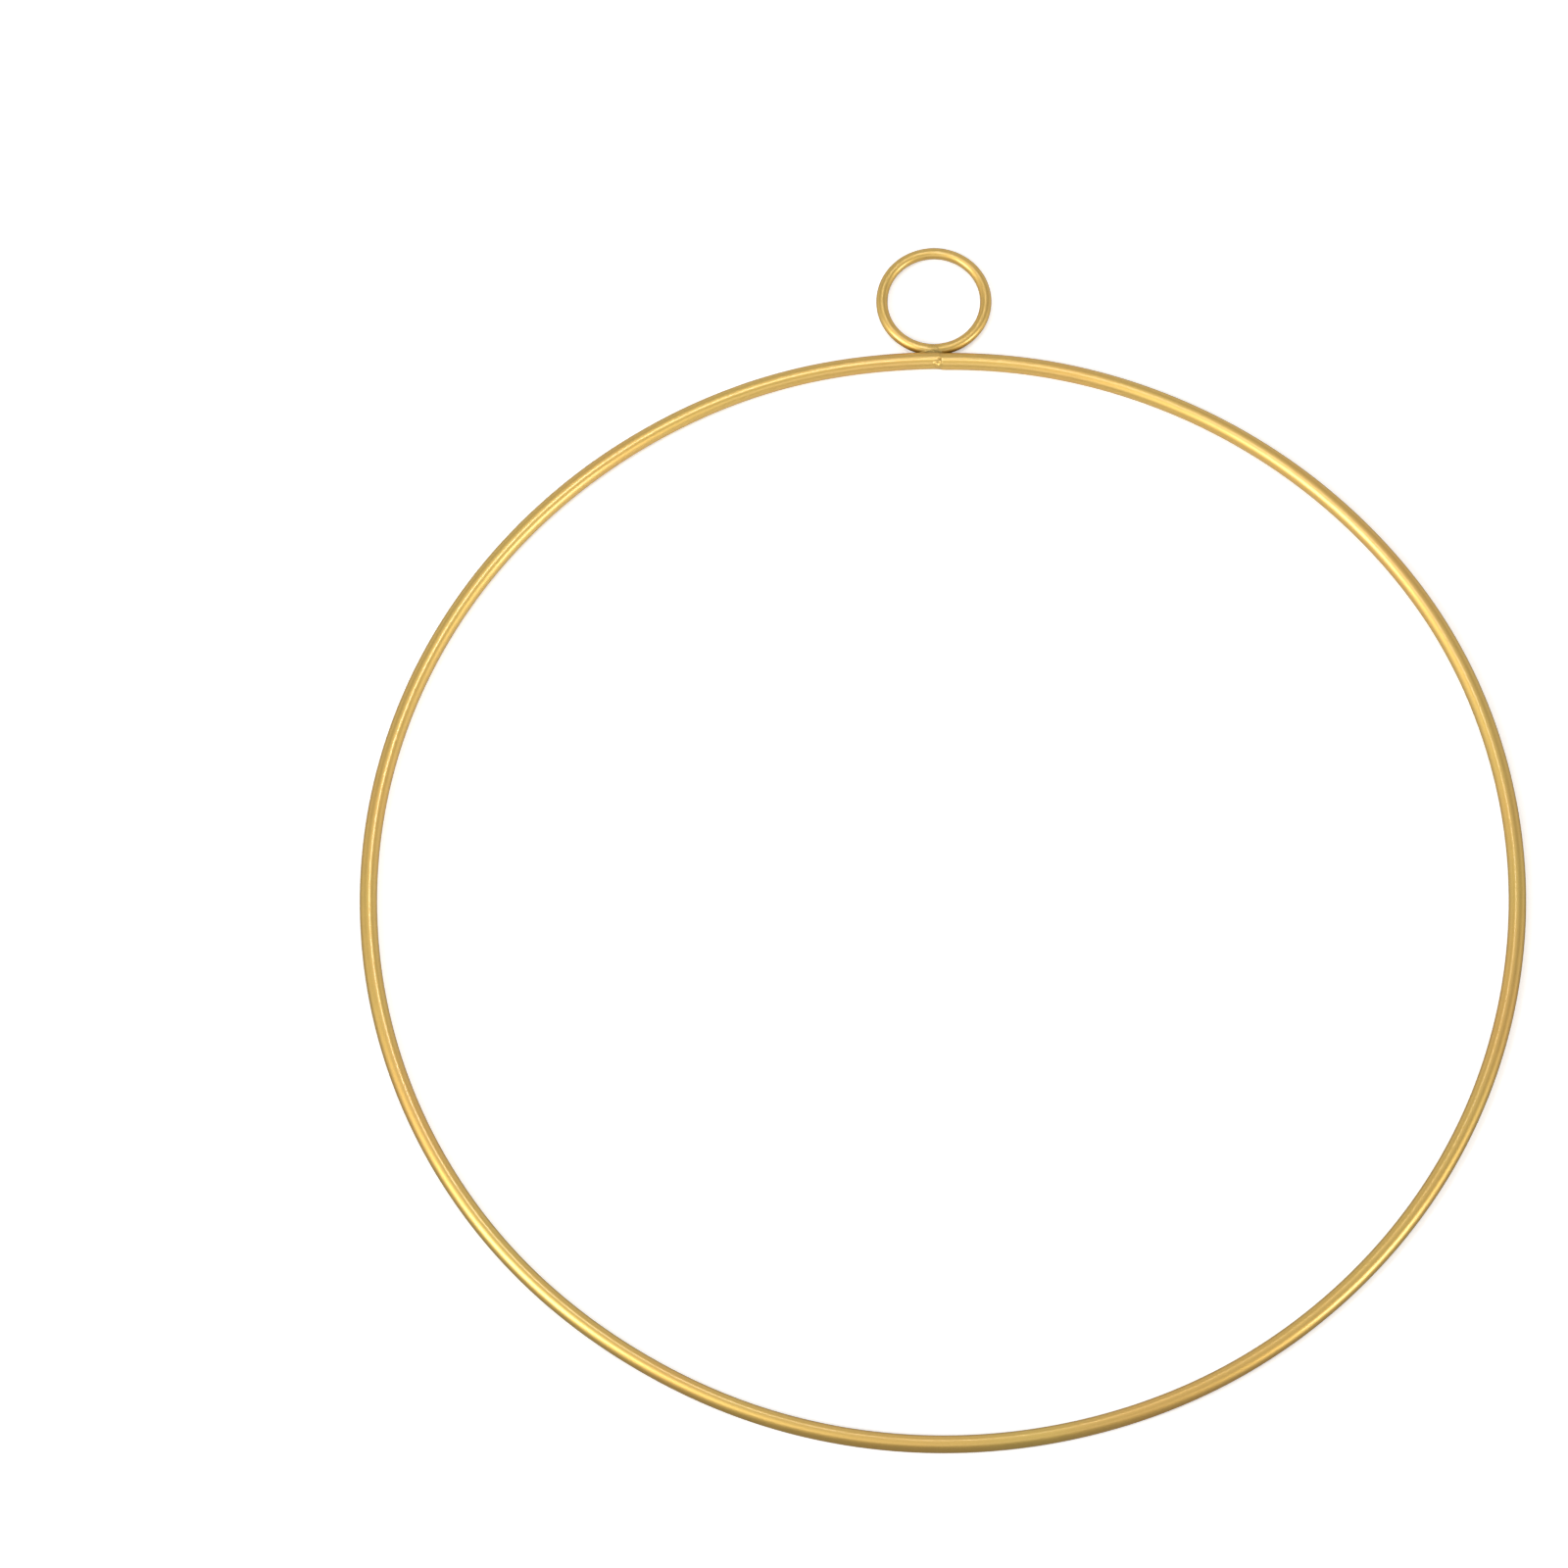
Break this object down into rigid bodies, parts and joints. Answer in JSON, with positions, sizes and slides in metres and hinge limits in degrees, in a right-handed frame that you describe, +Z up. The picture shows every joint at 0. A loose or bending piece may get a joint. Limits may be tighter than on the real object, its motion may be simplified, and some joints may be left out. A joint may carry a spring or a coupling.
{
  "type": "wreath frame",
  "caption": "Flat round wire hoop for building a wreath on, with a small welded hanging ring at its crown, painted gold.",
  "frame": {"origin": "on the surface that the frame lies on, under the middle of its outline", "axes": "+Z up, out of the front of the frame; +Y from the hoop's middle to the hanging ring; +X to the right, seen from the front"},
  "size_m": [0.2, 0.2198, 0.003],
  "materials": {
    "gold_paint": "satin metallic gold paint with a fine flake, over drawn steel wire",
    "gold_paint_on_weld": "the same gold paint over rough weld metal"
  },
  "bodies": {
    "root": {"hoop_wire": "gold_paint", "hoop_seam_weld": "gold_paint_on_weld", "hanging_ring_wire": "gold_paint", "hanging_ring_seam_weld": "gold_paint_on_weld", "ring_weld_front": "gold_paint_on_weld", "ring_weld_back": "gold_paint_on_weld"}
  },
  "joints": []
}
